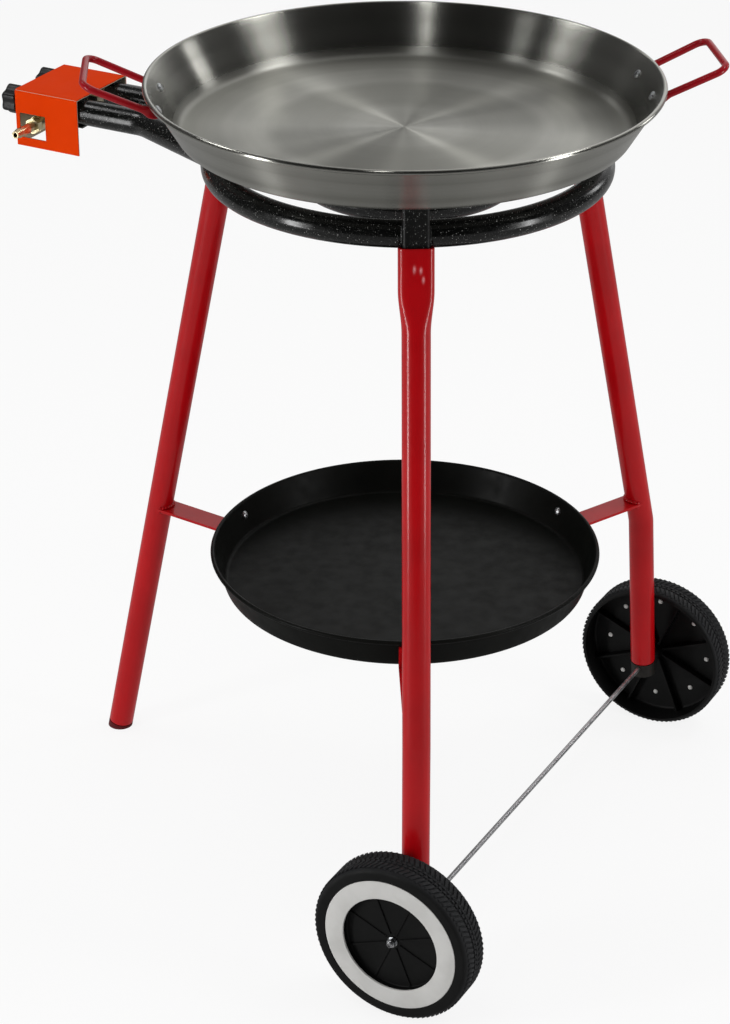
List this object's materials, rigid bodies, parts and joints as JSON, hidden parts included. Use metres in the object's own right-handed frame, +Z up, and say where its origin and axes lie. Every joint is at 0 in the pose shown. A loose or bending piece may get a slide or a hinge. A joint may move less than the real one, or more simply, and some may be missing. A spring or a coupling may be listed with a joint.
{
  "type": "paella burner",
  "caption": "Wheeled tripod gas burner with concentric burner rings on a feed manifold, a wide handled steel pan and a lower tray.",
  "frame": {"origin": "on the floor, under the middle of the whole object's box", "axes": "+Z up, -Y towards the front wheel, the controls at the back left"},
  "size_m": [0.783, 0.668, 0.843],
  "materials": {
    "pan_steel": "turned and polished",
    "handle_red": "gloss red paint",
    "fastener_steel": "zinc plated",
    "enamel": "glossy black enamel with white speckles",
    "brass": "turned brass",
    "cover_orange": "satin orange-red paint",
    "knob_black": "moulded black plastic",
    "leg_red": "gloss red paint",
    "plug_black": "moulded black plastic",
    "tray_black": "satin black",
    "axle_steel": "drawn steel rod",
    "wheel_black": "moulded black plastic",
    "trim_white": "white plastic"
  },
  "bodies": {
    "stand": {"outer_ring": "enamel", "inner_ring": "enamel", "outer_feed_tube": "enamel", "inner_feed_tube": "enamel", "bracket_front": "enamel", "bracket_right": "enamel", "bracket_left": "enamel", "jet_strap_near": "enamel", "jet_strap_far": "enamel", "valve_body_near": "brass", "valve_body_far": "brass", "gas_jets": "brass", "gas_rail": "brass", "rail_plug": "brass", "hose_nozzle": "brass", "control_cover": "cover_orange", "panel_nuts": "fastener_steel", "leg_left": "leg_red", "leg_front": "leg_red", "leg_right": "leg_red", "foot_cap": "plug_black", "axle_plug_front": "plug_black", "axle_plug_right": "plug_black", "brace_front": "leg_red", "brace_right": "leg_red", "brace_left": "leg_red", "tray": "tray_black", "tray_bolts": "fastener_steel", "tray_nuts": "fastener_steel", "axle_rod": "axle_steel", "axle_washers": "fastener_steel", "axle_nuts": "fastener_steel"},
    "pan": {"pan_body": "pan_steel", "pan_handle_left": "handle_red", "pan_handle_right": "handle_red", "handle_rivets": "fastener_steel"},
    "knob_near": {"knob_near": "knob_black", "valve_stem_near": "fastener_steel"},
    "knob_far": {"knob_far": "knob_black", "valve_stem_far": "fastener_steel"},
    "wheel_front": {"wheel_front": "wheel_black", "trim_ring_front": "trim_white"},
    "wheel_right": {"wheel_right": "wheel_black", "trim_ring_right": "trim_white"}
  },
  "joints": [
    {"name": "pan_lift", "type": "slide", "parent": "stand", "child": "pan", "axis": [0, 0, 1], "range_m": [0, 0.12]},
    {"name": "knob_near_turn", "type": "hinge", "parent": "stand", "child": "knob_near", "pos_m": [-0.36628, 0.25886, 0.744], "axis": [-0.866, 0.5, 0], "range_deg": [0, 180]},
    {"name": "knob_far_turn", "type": "hinge", "parent": "stand", "child": "knob_far", "pos_m": [-0.33628, 0.31083, 0.744], "axis": [-0.866, 0.5, 0], "range_deg": [0, 180]},
    {"name": "front_wheel_spin", "type": "hinge", "parent": "stand", "child": "wheel_front", "pos_m": [0.00104, -0.2773, 0.084], "axis": [0.5, 0.866, 0], "continuous": true},
    {"name": "right_wheel_spin", "type": "hinge", "parent": "stand", "child": "wheel_right", "pos_m": [0.3117, 0.2608, 0.084], "axis": [0.5, 0.866, 0], "continuous": true}
  ]
}
